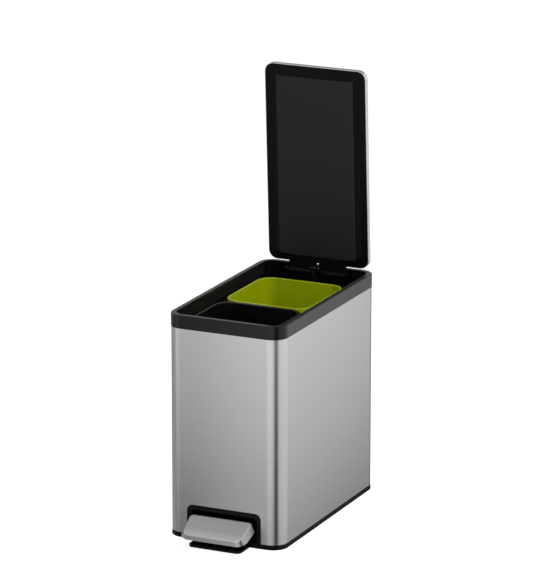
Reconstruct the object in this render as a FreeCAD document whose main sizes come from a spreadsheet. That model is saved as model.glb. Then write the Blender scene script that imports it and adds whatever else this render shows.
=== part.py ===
import FreeCAD, Part
import Sketcher
import math
import os
from FreeCAD import Vector, Placement, Rotation

# Double recycling bin: a slim pedal bin with a wrapped steel body, two lift-out
# buckets one behind the other, and one lid over both.
#
# Frame: millimetres, +Z up, the front (pedal side) faces -Y, +X is to the right
# of somebody who looks at the front. The origin is the centre of the body's
# footprint, on the floor. The model stands as in use: pedal pressed, lid open.

doc = FreeCAD.newDocument("RecyclingBin")
sheet = doc.addObject("Spreadsheet::Sheet", "Dims")


class Dim:
    """A size: its text in the sheet's terms, and its number."""

    def __init__(self, text, value):
        self.text = text
        self.value = float(value)

    @staticmethod
    def of(other):
        return other if isinstance(other, Dim) else Dim("%.9g" % other, other)

    def __add__(self, other):
        o = Dim.of(other)
        return Dim("(%s + %s)" % (self.text, o.text), self.value + o.value)

    def __radd__(self, other):
        return Dim.of(other) + self

    def __sub__(self, other):
        o = Dim.of(other)
        return Dim("(%s - (%s))" % (self.text, o.text), self.value - o.value)

    def __rsub__(self, other):
        return Dim.of(other) - self

    def __mul__(self, other):
        o = Dim.of(other)
        return Dim("(%s * (%s))" % (self.text, o.text), self.value * o.value)

    def __rmul__(self, other):
        return Dim.of(other) * self

    def __truediv__(self, other):
        o = Dim.of(other)
        return Dim("(%s / (%s))" % (self.text, o.text), self.value / o.value)

    def __neg__(self):
        return Dim("(0 - (%s))" % self.text, -self.value)


def num(x):
    return x.value if isinstance(x, Dim) else float(x)


SIZES = [
    ("body_width", 225.0, "outside width of the steel body"),
    ("body_depth", 416.0, "outside depth of the steel body"),
    ("body_corner", 28.0, "outside radius of the body's upright corners"),
    ("skin_gauge", 0.8, "thickness of the steel sheet"),
    ("band_height", 9.0, "height of the black base band"),
    ("steel_top", 389.0, "height of the steel's top edge"),
    ("rim_top", 413.5, "height of the collar's top face"),
    ("rim_width", 10.0, "width of the collar's top face, side to opening"),
    ("collar_proud", 0.75, "how far the collar stands out from the steel"),
    ("band_proud", 0.6, "how far the base flange stands out from the steel"),
    ("spigot_wall", 2.4, "wall of the collar's and the base's spigots"),
    ("spigot_gap", 0.1, "gap between a spigot and the steel"),
    ("arch_width", 146.0, "width of the pedal opening in the steel"),
    ("arch_top", 64.2, "height of the pedal opening's top edge"),
    ("arch_corner", 12.0, "corner radius of the pedal opening"),
    ("arch_clear_width", 127.0, "clear width inside the pedal surround"),
    ("arch_clear_top", 54.4, "clear height inside the pedal surround"),
    ("foot_width", 103.0, "width of the foot tongue on the floor"),
    ("foot_front", 250.8, "how far in front of the centre the tongue ends"),
    ("foot_height", 5.0, "thickness of the tongue"),
    ("lid_width", 201.0, "width of the lid"),
    ("lid_length", 375.0, "length of the lid"),
    ("lid_front", 196.0, "how far in front of the centre the shut lid ends"),
    ("lid_skirt", 12.0, "depth of the lid's steel skirt"),
    ("lid_corner", 17.0, "corner radius of the lid"),
    ("lid_base", 405.5, "height of the shut lid's skirt edge"),
    ("lid_open", 87.0, "opening angle of the lid, degrees"),
    ("panel_width", 150.0, "width of the liner's raised panel"),
    ("panel_rise", 6.0, "how far the liner's panel stands out"),
    ("hinge_y", 195.0, "hinge axis, behind the centre"),
    ("hinge_z", 401.0, "hinge axis, above the floor"),
    ("hinge_pin_radius", 2.5, "radius of the hinge pin"),
    ("barrel_radius", 6.0, "radius of the hinge barrel"),
    ("hinge_width", 114.0, "width of the hinge block"),
    ("crank_reach_y", 12.6, "crank pin in front of the hinge axis, lid open"),
    ("crank_reach_z", 11.4, "crank pin above the hinge axis, lid open"),
    ("crank_pin_radius", 2.0, "radius of the crank pin"),
    ("run_gap", 0.05, "radial gap of a running fit"),
    ("bucket_width", 168.0, "outside width of a bucket's rim"),
    ("front_bucket_length", 150.0, "outside length of the front bucket's rim"),
    ("rear_bucket_length", 177.5, "outside length of the rear bucket's rim"),
    ("bucket_top", 399.0, "height of the buckets' rims"),
    ("bucket_foot", 63.8, "height of the buckets' undersides"),
    ("bucket_wall", 2.0, "wall of the buckets"),
    ("bucket_corner", 30.0, "corner radius of a bucket's rim"),
    ("front_bucket_y", -118.0, "centre of the front bucket"),
    ("rear_bucket_y", 50.25, "centre of the rear bucket"),
    ("deck_top", 63.5, "height of the deck that the buckets stand on"),
    ("deck_plate", 2.5, "thickness of the deck"),
    ("tray_floor", 4.5, "height of the base tray's floor"),
    ("fulcrum_y", -43.0, "pedal axle, from the centre"),
    ("fulcrum_z", 30.0, "pedal axle, above the floor"),
    ("axle_radius", 3.0, "radius of the pedal axle"),
    ("lever_tip_y", 182.0, "lever pin, behind the centre"),
    ("lever_tip_z", 41.7, "lever pin, above the floor, pedal pressed"),
    ("lever_height", 14.0, "height of the lever's bar"),
    ("lever_gauge", 5.0, "thickness of the lever's bar"),
    ("pedal_front_width", 112.0, "width of the pedal's flat at its front"),
    ("pedal_back_width", 123.0, "width of the pedal's flat at its back"),
    ("pedal_hem_width", 127.6, "width of the pedal's skirt at its front"),
    ("pedal_width", 130.6, "width of the pedal's skirt at its back"),
    ("pedal_length", 54.5, "length of the pedal's steel plate"),
    ("pedal_slope", 25.0, "slope of the pressed pedal's plate, degrees"),
    ("pedal_ridge_y", -261.0, "front ridge of the pedal, from the centre"),
    ("pedal_ridge_z", 29.0, "front ridge of the pedal, above the floor"),
    ("pedal_roll", 60.0, "radius of the plate's roll down to its front"),
    ("pedal_roll_length", 18.0, "length of the plate's roll"),
    ("pedal_hem_slope", 20.5, "slope of the skirt's lower edge, degrees"),
    ("pedal_hem_y", -260.6, "front of the skirt's lower edge, from the centre"),
    ("pedal_hem_z", 16.8, "front of the skirt's lower edge, above the floor"),
    ("pedal_hem_length", 50.8, "length of the skirt's lower edge"),
    ("shelf_top", 380.5, "height of the shelf behind the rear bucket"),
    ("rod_radius", 2.5, "radius of the push rod"),
    ("rod_y", 182.4, "push rod, behind the centre"),
    ("damper_x", 17.0, "damper axis, right of the middle"),
    ("damper_y", 187.0, "damper axis, behind the centre"),
]

D = {}
for row, (alias, value, note) in enumerate(SIZES, start=2):
    sheet.set("A%d" % row, note)
    sheet.set("B%d" % row, "%g" % value)
    sheet.setAlias("B%d" % row, alias)
    D[alias] = Dim("Dims.%s" % alias, value)
doc.recompute()

LABELS = []
counter = [0]


def tag(word):
    counter[0] += 1
    return "%s_%d" % (word, counter[0])


def bind(obj, prop, value):
    """Give a property its number, and its formula if it has one."""
    target = obj
    if "." not in prop:
        setattr(target, prop, num(value))
    if isinstance(value, Dim):
        obj.setExpression(prop, value.text)


# ---- sketches ---------------------------------------------------------------

def new_body(label):
    body = doc.addObject("PartDesign::Body", label)
    body.Label = label
    LABELS.append(label)
    return body


def origin_plane(body, role):
    for feature in body.Origin.OriginFeatures:
        if feature.Role == role:
            return feature
    raise RuntimeError(role)


def sketch(body, role, offset=0.0):
    """A sketch parallel to an origin plane. XY looks down, its offset is Z.
    XZ has X right and Z up, its offset is -Y. YZ has Y right and Z up, its
    offset is X."""
    sk = body.newObject("Sketcher::SketchObject", tag("Sketch"))
    sk.AttachmentSupport = [(origin_plane(body, role), "")]
    sk.MapMode = "FlatFace"
    sk.AttachmentOffset = Placement(Vector(0, 0, num(offset)), Rotation())
    if isinstance(offset, Dim):
        sk.setExpression("AttachmentOffset.Base.z", offset.text)
    return sk


def slope_sketch(body, y, z, angle, depth):
    """A sketch on a plane that is turned about X, its zero at (0, y, z), and
    then sunk by depth along its own normal."""
    sk = body.newObject("Sketcher::SketchObject", tag("Sketch"))
    sk.AttachmentSupport = [(origin_plane(body, "XY_Plane"), "")]
    sk.MapMode = "FlatFace"
    turn = Rotation(Vector(1, 0, 0), num(angle))
    base = Vector(0, num(y), num(z)) - turn.multVec(Vector(0, 0, num(depth)))
    sk.AttachmentOffset = Placement(base, turn)
    return sk


def constrain(sk, kind, *args):
    index = sk.addConstraint(Sketcher.Constraint(kind, *[
        num(a) if isinstance(a, (Dim, float)) else a for a in args]))
    last = args[-1]
    if isinstance(last, Dim):
        name = tag("dim")
        sk.renameConstraint(index, name)
        sk.setExpression("Constraints.%s" % name, last.text)
    return index


def fix_x(sk, geo, pos, x):
    if not isinstance(x, Dim) and abs(x) < 1e-9:
        sk.addConstraint(Sketcher.Constraint("PointOnObject", geo, pos, -2))
    else:
        constrain(sk, "DistanceX", -1, 1, geo, pos, x if isinstance(x, Dim) else float(x))


def fix_y(sk, geo, pos, y):
    if not isinstance(y, Dim) and abs(y) < 1e-9:
        sk.addConstraint(Sketcher.Constraint("PointOnObject", geo, pos, -1))
    else:
        constrain(sk, "DistanceY", -1, 1, geo, pos, y if isinstance(y, Dim) else float(y))


def rrect(sk, x0, x1, y0, y1, r):
    """A rounded rectangle from its four sides and its corner radius."""
    a, b, c, d, q = num(x0), num(x1), num(y0), num(y1), num(r)
    n = sk.GeometryCount
    up = Vector(0, 0, 1)

    def line(p, s):
        sk.addGeometry(Part.LineSegment(Vector(p[0], p[1], 0), Vector(s[0], s[1], 0)), False)

    def arc(cx, cy, t):
        sk.addGeometry(Part.ArcOfCircle(Part.Circle(Vector(cx, cy, 0), up, q),
                                        t, t + math.pi / 2), False)

    line((a + q, c), (b - q, c))
    arc(b - q, c + q, -math.pi / 2)
    line((b, c + q), (b, d - q))
    arc(b - q, d - q, 0)
    line((b - q, d), (a + q, d))
    arc(a + q, d - q, math.pi / 2)
    line((a, d - q), (a, c + q))
    arc(a + q, c + q, math.pi)
    for k in range(8):
        sk.addConstraint(Sketcher.Constraint("Tangent", n + k, 2, n + (k + 1) % 8, 1))
    sk.addConstraint(Sketcher.Constraint("Horizontal", n))
    sk.addConstraint(Sketcher.Constraint("Vertical", n + 2))
    sk.addConstraint(Sketcher.Constraint("Horizontal", n + 4))
    sk.addConstraint(Sketcher.Constraint("Vertical", n + 6))
    for k in (3, 5, 7):
        sk.addConstraint(Sketcher.Constraint("Equal", n + 1, n + k))
    constrain(sk, "Radius", n + 1, r if isinstance(r, Dim) else float(r))
    fix_x(sk, n + 6, 1, x0)
    fix_x(sk, n + 2, 1, x1)
    fix_y(sk, n, 1, y0)
    fix_y(sk, n + 4, 1, y1)
    return sk


def rtaper(sk, front, back, y0, y1, r, rear=None):
    """A rounded outline about the Y axis that is front wide at y0 and back
    wide at y1. Its corners have radius r, or at the back rear."""
    f, g, c, d, q = num(front) / 2, num(back) / 2, num(y0), num(y1), num(r)
    e = q if rear is None else num(rear)
    lean = math.atan2(g - f, d - c)
    tf = q / math.tan((math.pi / 2 + lean) / 2)
    tb = e / math.tan((math.pi / 2 - lean) / 2)
    n = sk.GeometryCount
    up = Vector(0, 0, 1)
    low = (f + tf * math.sin(lean), c + tf * math.cos(lean))
    high = (g - tb * math.sin(lean), d - tb * math.cos(lean))

    def line(p, s):
        sk.addGeometry(Part.LineSegment(Vector(p[0], p[1], 0), Vector(s[0], s[1], 0)), False)

    def arc(cx, cy, size, a, b):
        sk.addGeometry(Part.ArcOfCircle(Part.Circle(Vector(cx, cy, 0), up, size), a, b), False)

    line((-f + tf, c), (f - tf, c))
    arc(f - tf, c + q, q, -math.pi / 2, -lean)
    line(low, high)
    arc(g - tb, d - e, e, -lean, math.pi / 2)
    line((g - tb, d), (-g + tb, d))
    arc(-g + tb, d - e, e, math.pi / 2, math.pi + lean)
    line((-high[0], high[1]), (-low[0], low[1]))
    arc(-f + tf, c + q, q, math.pi + lean, math.pi * 1.5)
    for k in range(8):
        sk.addConstraint(Sketcher.Constraint("Tangent", n + k, 2, n + (k + 1) % 8, 1))
    sk.addConstraint(Sketcher.Constraint("Horizontal", n))
    sk.addConstraint(Sketcher.Constraint("Horizontal", n + 4))
    sk.addConstraint(Sketcher.Constraint("Equal", n + 1, n + 7))
    sk.addConstraint(Sketcher.Constraint("Equal", n + 3, n + 5))
    constrain(sk, "Radius", n + 1, r if isinstance(r, Dim) else float(r))
    constrain(sk, "Radius", n + 3, e)
    fix_y(sk, n, 1, y0)
    fix_y(sk, n + 4, 1, y1)
    fix_x(sk, n + 2, 1, low[0])
    fix_x(sk, n + 2, 2, high[0])
    fix_x(sk, n + 6, 1, -high[0])
    fix_x(sk, n + 6, 2, -low[0])
    return sk


def centred(sk, width, length, r, yc=0.0):
    w = width / 2
    l = length / 2
    return rrect(sk, -w, w, yc - l, yc + l, r)


def poly(sk, points):
    """A closed outline of straight edges through the given points."""
    n = sk.GeometryCount
    m = len(points)
    for k in range(m):
        p, s = points[k], points[(k + 1) % m]
        sk.addGeometry(Part.LineSegment(Vector(num(p[0]), num(p[1]), 0),
                                        Vector(num(s[0]), num(s[1]), 0)), False)
    for k in range(m):
        sk.addConstraint(Sketcher.Constraint("Coincident", n + k, 2, n + (k + 1) % m, 1))
    for k, p in enumerate(points):
        fix_x(sk, n + k, 1, p[0])
        fix_y(sk, n + k, 1, p[1])
    return sk


def rect(sk, x0, x1, y0, y1):
    return poly(sk, [(x0, y0), (x1, y0), (x1, y1), (x0, y1)])


def circle(sk, x, y, r):
    n = sk.GeometryCount
    sk.addGeometry(Part.Circle(Vector(num(x), num(y), 0), Vector(0, 0, 1), num(r)), False)
    constrain(sk, "Radius", n, r if isinstance(r, Dim) else float(r))
    fix_x(sk, n, 3, x)
    fix_y(sk, n, 3, y)
    return sk


# ---- features ---------------------------------------------------------------

def volume(body):
    shape = body.Shape
    return 0.0 if shape.isNull() else shape.Volume


def extrude(body, kind, sk, length, reverse):
    before = volume(body)
    f = body.newObject("PartDesign::" + kind, tag(kind))
    f.Profile = sk
    bind(f, "Length", length)
    f.Reversed = reverse
    sk.Visibility = False
    doc.recompute()
    after = volume(body)
    if kind == "Pad" and not after > before + 1e-3:
        raise RuntimeError("%s: pad adds nothing" % body.Label)
    if kind == "Pocket" and not after < before - 1e-3:
        raise RuntimeError("%s: pocket cuts nothing" % body.Label)
    return f


def pad(body, sk, length, reverse=False):
    """Adds along the sketch's normal (against it if reverse)."""
    return extrude(body, "Pad", sk, length, reverse)


def pocket(body, sk, length, reverse=False):
    """Cuts against the sketch's normal (along it if reverse)."""
    return extrude(body, "Pocket", sk, length, reverse)


def tapered(body, kind, sk, length, angle, reverse):
    """A pad or pocket whose outline grows as it goes, by the given angle."""
    before = volume(body)
    f = body.newObject("PartDesign::" + kind, tag(kind))
    f.Profile = sk
    bind(f, "Length", length)
    f.Reversed = reverse
    f.TaperAngle = num(angle)
    doc.recompute()
    if abs(volume(body) - before) < 1e-3:
        raise RuntimeError("%s: no effect" % body.Label)
    return f


def loft(body, kind, first, second):
    before = volume(body)
    f = body.newObject("PartDesign::" + kind, tag(kind))
    f.Profile = first
    f.Sections = [second]
    f.Ruled = True
    doc.recompute()
    after = volume(body)
    if (kind == "AdditiveLoft") != (after > before):
        raise RuntimeError("%s: loft has no effect" % body.Label)
    return f


def revolve(body, sk):
    f = body.newObject("PartDesign::Revolution", tag("Revolution"))
    f.Profile = sk
    f.ReferenceAxis = (sk, ["V_Axis"])
    f.Angle = 360
    doc.recompute()
    return f


def edges_where(shape, test):
    found = []
    for k, e in enumerate(shape.Edges, start=1):
        if test(e):
            found.append("Edge%d" % k)
    return found


def flat_at(z, tol=1e-3):
    """True for an edge that lies wholly in the level plane at z."""
    def test(e):
        b = e.BoundBox
        return abs(b.ZMin - z) < tol and abs(b.ZMax - z) < tol
    return test


def fillet(body, names, radius):
    base = body.Tip
    f = body.newObject("PartDesign::Fillet", tag("Fillet"))
    f.Base = (base, names)
    bind(f, "Radius", radius)
    doc.recompute()
    if "Invalid" in f.State or "Error" in f.State or f.Shape.isNull():
        raise RuntimeError("%s: fillet failed" % body.Label)
    return f


# ---- loose primitives -------------------------------------------------------

AXES = {"x": Rotation(Vector(0, 1, 0), 90), "y": Rotation(Vector(1, 0, 0), -90),
        "z": Rotation()}


def cylinder(label, radius, height, at, axis="z", keep=True):
    c = doc.addObject("Part::Cylinder", label)
    c.Label = label
    bind(c, "Radius", radius)
    bind(c, "Height", height)
    c.Placement = Placement(Vector(*[num(v) for v in at]), AXES[axis])
    if keep:
        LABELS.append(label)
    return c


def fuse(label, shapes, keep=True):
    f = doc.addObject("Part::MultiFuse", label)
    f.Label = label
    f.Shapes = shapes
    if keep:
        LABELS.append(label)
    return f


def cut(label, base, tool, keep=True):
    f = doc.addObject("Part::Cut", label)
    f.Label = label
    f.Base = base
    f.Tool = tool
    if keep:
        LABELS.append(label)
    return f


def group(label, members):
    """Identical loose pieces that share one name."""
    g = doc.addObject("Part::Compound", label)
    g.Label = label
    g.Links = members
    LABELS.append(label)
    return g


def screw(name, head_r, head_h, shank_r, shank_l, seat, axis, sign):
    """A pan-head screw. seat is the point where the head meets the part, and
    the shank runs from there along sign times axis."""
    step = {"x": Vector(1, 0, 0), "y": Vector(0, 1, 0), "z": Vector(0, 0, 1)}[axis] * sign
    s = Vector(*seat)
    h0 = s - step * head_h if sign > 0 else s
    b0 = s if sign > 0 else s + step * shank_l
    overlap = 0.2
    if sign > 0:
        b0 = b0 - step * overlap
    head = cylinder(name + "_head", head_r, head_h, tuple(h0), axis, keep=False)
    shank = cylinder(name + "_shank", shank_r, shank_l + overlap, tuple(b0), axis, keep=False)
    return fuse(name, [head, shank], keep=False)


W, L, R = D["body_width"], D["body_depth"], D["body_corner"]
gap = D["spigot_gap"]
skin = D["skin_gauge"]
run = D["run_gap"]

# =============================================================================
# The bin's body
# =============================================================================

# Steel wrap: one sheet round all four sides, open at the top and the bottom,
# with the arch for the pedal cut in its front.
shell = new_body("body_shell")
pad(shell, centred(sketch(shell, "XY_Plane", D["band_height"]), W, L, R),
    D["steel_top"] - D["band_height"])
pocket(shell, centred(sketch(shell, "XY_Plane", D["steel_top"]), W - 2 * skin, L - 2 * skin,
                      R - skin), D["steel_top"] - D["band_height"])
arch = sketch(shell, "XZ_Plane", L / 2 + 1)
rrect(arch, -D["arch_width"] / 2, D["arch_width"] / 2, -20.0, D["arch_top"], D["arch_corner"])
pocket(shell, arch, 4.0)

# Collar: a moulded ring on top of the steel. Its band covers the steel's edge,
# a spigot goes down inside the sheet, and an inner wall lines the mouth.
collar = new_body("top_collar")
CW, CL, CR = W + 2 * D["collar_proud"], L + 2 * D["collar_proud"], R + D["collar_proud"]
rim = D["rim_width"]
OW, OL, OR = CW - 2 * rim, CL - 2 * rim, CR - rim
collar_height = D["rim_top"] - D["steel_top"]
pad(collar, centred(sketch(collar, "XY_Plane", D["steel_top"]), CW, CL, CR), collar_height)
pocket(collar, centred(sketch(collar, "XY_Plane", D["rim_top"]), OW, OL, OR), collar_height)
groove = sketch(collar, "XY_Plane", D["steel_top"])
centred(groove, W - 5.0, L - 5.0, R - 2.5)
centred(groove, OW + 4.4, OL + 4.4, OR + 2.2)
pocket(collar, groove, collar_height - 3.0, reverse=True)
spigot = sketch(collar, "XY_Plane", D["steel_top"] - 17.0)
SW, SL, SR = W - 2 * skin - 2 * gap, L - 2 * skin - 2 * gap, R - skin - gap
wall = D["spigot_wall"]
centred(spigot, SW, SL, SR)
centred(spigot, SW - 2 * wall, SL - 2 * wall, SR - wall)
pad(collar, spigot, 17.0 + collar_height - 2.0)
# The middle of the rear inner wall is cut away for the hinge.
notch = sketch(collar, "XY_Plane", D["steel_top"] - 1.0)
rect(notch, -67.0, 67.0, OL / 2 - 4.0, SL / 2 - wall)
pocket(collar, notch, 21.0, reverse=True)
# Two small ledges inside the front wall carry the lid's bumpers.
ledge = sketch(collar, "XY_Plane", 398.0)
rect(ledge, -66.0, -52.0, -OL / 2 - 1.0, -OL / 2 + 4.5)
rect(ledge, 52.0, 66.0, -OL / 2 - 1.0, -OL / 2 + 4.5)
pad(collar, ledge, 6.0)
# Two screw holes for the hinge bracket, through the rear spigot.
holes = sketch(collar, "XZ_Plane", -(SL / 2) + 5.0)
circle(holes, -42.0, 381.0, 1.8)
circle(holes, 42.0, 381.0, 1.8)
pocket(collar, holes, 4.9)
top = D["rim_top"].value


def outer_top(e):
    b = e.BoundBox
    if not (abs(b.ZMin - top) < 1e-3 and abs(b.ZMax - top) < 1e-3):
        return False
    m = e.valueAt((e.FirstParameter + e.LastParameter) / 2)
    return abs(m.x) > OW.value / 2 + 3 or abs(m.y) > OL.value / 2 + 3 or \
        math.hypot(abs(m.x) - (CW.value / 2 - CR.value), abs(m.y) - (CL.value / 2 - CR.value)) > \
        OR.value + 4 and abs(m.x) > CW.value / 2 - CR.value and abs(m.y) > CL.value / 2 - CR.value


outer = edges_where(collar.Tip.Shape, outer_top)
inner = [n for n in edges_where(collar.Tip.Shape, flat_at(top)) if n not in outer]
fillet(collar, outer, 2.0)
inner_now = edges_where(collar.Tip.Shape, lambda e: flat_at(top)(e) and not outer_top(e)
                        and e.BoundBox.YMin > -CL.value / 2 + 5 - 1e-6
                        and abs(e.BoundBox.XMax) < CW.value / 2 - 5)
fillet(collar, inner_now, 0.9)

# Base tray: the band at the floor, its flange a little wider than the steel,
# a spigot up inside the sheet, the floor inside and the tongue in front that
# keeps the bin from tipping when the pedal is pressed.
base = new_body("base_tray")
BW, BL, BR = W + 2 * D["band_proud"], L + 2 * D["band_proud"], R + D["band_proud"]
pad(base, centred(sketch(base, "XY_Plane", 0.0), BW, BL, BR), 5.0)
pad(base, centred(sketch(base, "XY_Plane", 4.0), W + 0.2, L + 0.2, R + 0.1),
    D["band_height"] - 4.0)
tongue = sketch(base, "XY_Plane", 0.0)
rrect(tongue, -D["foot_width"] / 2, D["foot_width"] / 2, -D["foot_front"], -L / 2 + 12.0, 10.0)
pad(base, tongue, D["foot_height"])
pad(base, centred(sketch(base, "XY_Plane", 4.0), SW, SL, SR), 32.0)
IW, IL, IR = SW - 2 * wall, SL - 2 * wall, SR - wall
pocket(base, centred(sketch(base, "XY_Plane", 36.0), IW, IL, IR),
       36.0 - D["tray_floor"])
pocket(base, centred(sketch(base, "XY_Plane", 0.0), BW - 10.0, BL - 10.0, BR - 5.0), 2.0,
       reverse=True)
door = sketch(base, "XZ_Plane", L / 2 + 2)
rect(door, -D["arch_width"] / 2 - 0.1, D["arch_width"] / 2 + 0.1, D["band_height"], 60.0)
pocket(base, door, 8.0)
BOSS = [(-96.0, -168.0), (96.0, -168.0), (-96.0, 128.0), (96.0, 128.0)]
PLATE = [(-19.0, -55.0), (19.0, -55.0), (-19.0, -31.0), (19.0, -31.0)]
holes = sketch(base, "XY_Plane", D["tray_floor"])
for x, y in BOSS + PLATE:
    circle(holes, x, y, 1.8)
pocket(base, holes, 3.0)


def flange_edge(e):
    b = e.BoundBox
    on = abs(b.ZMin - 5.0) < 1e-3 and abs(b.ZMax - 5.0) < 1e-3
    return on and (abs(b.XMax) > BW.value / 2 - 0.3 or abs(b.XMin) < -BW.value / 2 + 0.3
                   or b.YMax > BL.value / 2 - 0.3)


tongue_edges = edges_where(base.Tip.Shape, lambda e: flat_at(num(D["foot_height"]))(e)
                           and e.BoundBox.YMin < -L.value / 2 - 0.9)
fillet(base, tongue_edges, 1.2)

# Deck: the moulded false floor that the buckets stand on. It bridges the pedal
# works and stands on side walls and four screw bosses.
deck = new_body("bucket_deck")
DW = IW - 3.0
plate = sketch(deck, "XY_Plane", D["deck_top"])
rrect(plate, -DW / 2, DW / 2, -195.0, 166.3, 22.0)
pad(deck, plate, D["deck_plate"], reverse=True)
sides = sketch(deck, "XY_Plane", D["tray_floor"])
rect(sides, -DW / 2, -DW / 2 + 2.2, -160.0, 140.0)
rect(sides, DW / 2 - 2.2, DW / 2, -160.0, 140.0)
pad(deck, sides, D["deck_top"] - D["tray_floor"] - 1.0)
bosses = sketch(deck, "XY_Plane", D["tray_floor"])
for x, y in BOSS:
    circle(bosses, x, y, 4.5)
pad(deck, bosses, D["deck_top"] - D["tray_floor"] - 1.0)
pilots = sketch(deck, "XY_Plane", D["tray_floor"])
for x, y in BOSS:
    circle(pilots, x, y, 1.8)
pocket(deck, pilots, 16.0, reverse=True)
# Low ribs keep the feet of the two buckets in their places.
rib = sketch(deck, "XY_Plane", D["deck_top"] - 1.0)
for yc, long in ((D["front_bucket_y"], D["front_bucket_length"]),
                 (D["rear_bucket_y"], D["rear_bucket_length"])):
    foot_half = (long - 18.0) / 2
    rect(rib, -46.0, 46.0, yc + foot_half + 1.0, yc + foot_half + 3.5)
    rect(rib, -46.0, 46.0, yc - foot_half - 3.5, yc - foot_half - 1.0)
    for side in (-1, 1):
        a = side * ((D["bucket_width"] - 18.0) / 2 + 1.0)
        b = side * ((D["bucket_width"] - 18.0) / 2 + 3.5)
        rect(rib, a if side > 0 else b, b if side > 0 else a, yc - 30.0, yc + 30.0)
pad(deck, rib, 9.0)

# Pedal surround: the black moulding that lines the arch.
surround = new_body("pedal_surround")
ring = sketch(surround, "XZ_Plane", L / 2 + 0.2)
rrect(ring, -D["arch_width"] / 2 + 0.1, D["arch_width"] / 2 - 0.1, -20.0,
      D["arch_top"] - 0.1, D["arch_corner"] - 0.1)
pad(surround, ring, 12.0, reverse=True)
bore = sketch(surround, "XZ_Plane", L / 2 + 0.2)
rrect(bore, -D["arch_clear_width"] / 2, D["arch_clear_width"] / 2, -40.0,
      D["arch_clear_top"], 8.0)
pocket(surround, bore, 12.0)
below = sketch(surround, "XZ_Plane", L / 2 + 1.2)
rect(below, -90.0, 90.0, -45.0, D["band_height"])
pocket(surround, below, 15.0)
cheeks = sketch(surround, "XY_Plane", D["band_height"])
rect(cheeks, -D["arch_clear_width"] / 2 - 2.5, -D["arch_clear_width"] / 2, -L / 2 + 11.0, -150.0)
rect(cheeks, D["arch_clear_width"] / 2, D["arch_clear_width"] / 2 + 2.5, -L / 2 + 11.0, -150.0)
pad(surround, cheeks, 34.0)
tab = sketch(surround, "XZ_Plane", L / 2 - 1.0)
rect(tab, -55.0, 55.0, D["arch_top"] - 2.0, D["arch_top"] + 4.0)
pad(surround, tab, 1.8, reverse=True)
front_y = -(L.value / 2 + 0.2)
fillet(surround, edges_where(surround.Tip.Shape, lambda e: abs(e.BoundBox.YMin - front_y) < 1e-3
                             and abs(e.BoundBox.YMax - front_y) < 1e-3
                             and e.BoundBox.ZMax < D["arch_clear_top"].value + 0.1
                             and e.BoundBox.ZMin > 8.9
                             and abs(e.BoundBox.XMin) < D["arch_clear_width"].value / 2 + 0.1
                             and abs(e.BoundBox.XMax) < D["arch_clear_width"].value / 2 + 0.1),
       1.6)

# Cover over the push rod's channel, up the inside of the rear wall.
cover = new_body("rod_channel_cover")
channel = sketch(cover, "XY_Plane", 61.0)
poly(channel, [(-32.0, 166.5), (32.0, 166.5), (32.0, SL / 2 - wall - 0.2), (30.0, SL / 2 - wall - 0.2),
               (30.0, 168.5), (-30.0, 168.5), (-30.0, SL / 2 - wall - 0.2), (-32.0, SL / 2 - wall - 0.2)])
pad(cover, channel, 311.0)

# Shelf behind the rear bucket: it closes the space for the hinge works from
# above, with a slot for the push rod's head and an apron down its front.
shelf = new_body("rear_shelf")
pad(shelf, centred(sketch(shelf, "XY_Plane", D["shelf_top"] - 2.5), SW - 2 * wall - 0.3,
                   SL - 2 * wall - 0.3, SR - wall - 0.15), 2.5)
away = sketch(shelf, "XY_Plane", D["shelf_top"])
rect(away, -130.0, 130.0, -230.0, 143.6)
rect(away, -130.0, 130.0, 199.0, 230.0)
pocket(shelf, away, 2.5)
apron = sketch(shelf, "XY_Plane", D["shelf_top"] - 1.0)
rect(apron, -104.0, 104.0, 143.6, 146.0)
pad(shelf, apron, 46.0, reverse=True)
gate = sketch(shelf, "XY_Plane", D["shelf_top"])
rrect(gate, -7.0, 7.0, 170.6, 190.4, 3.0)
pocket(shelf, gate, 2.5)
fillet(shelf, edges_where(shelf.Tip.Shape, lambda e: flat_at(num(D["shelf_top"]))(e)
                          and abs(e.BoundBox.YMin - 143.6) < 0.01
                          and abs(e.BoundBox.YMax - 143.6) < 0.01), 1.2)

# Guides for the push rod, two alike, across the inside of the channel.
guides = []
for k, z in enumerate((90.0, 350.0)):
    g = doc.addObject("PartDesign::Body", "rod_guide_%d" % (k + 1))
    face = sketch(g, "XY_Plane", z)
    rect(face, -29.9, 29.9, 168.6, SL / 2 - wall - 0.4)
    pad(g, face, 8.0)
    hole = sketch(g, "XY_Plane", z + 8.0)
    circle(hole, 0.0, D["rod_y"], D["rod_radius"] + run)
    pocket(g, hole, 8.0)
    guides.append(g)
group("rod_guides", guides)

# Damper: the dashpot that slows the lid, standing on the lower guide.
damper = new_body("damper_cylinder")
section = sketch(damper, "XZ_Plane", 0.0)
poly(section, [(0.0, 98.0), (7.0, 98.0), (7.0, 188.0), (1.55, 188.0), (1.55, 184.0),
               (5.1, 184.0), (5.1, 103.0), (0.0, 103.0)])
revolve(damper, section)
damper.Placement = Placement(Vector(num(D["damper_x"]), num(D["damper_y"]), 0), Rotation())

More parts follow.
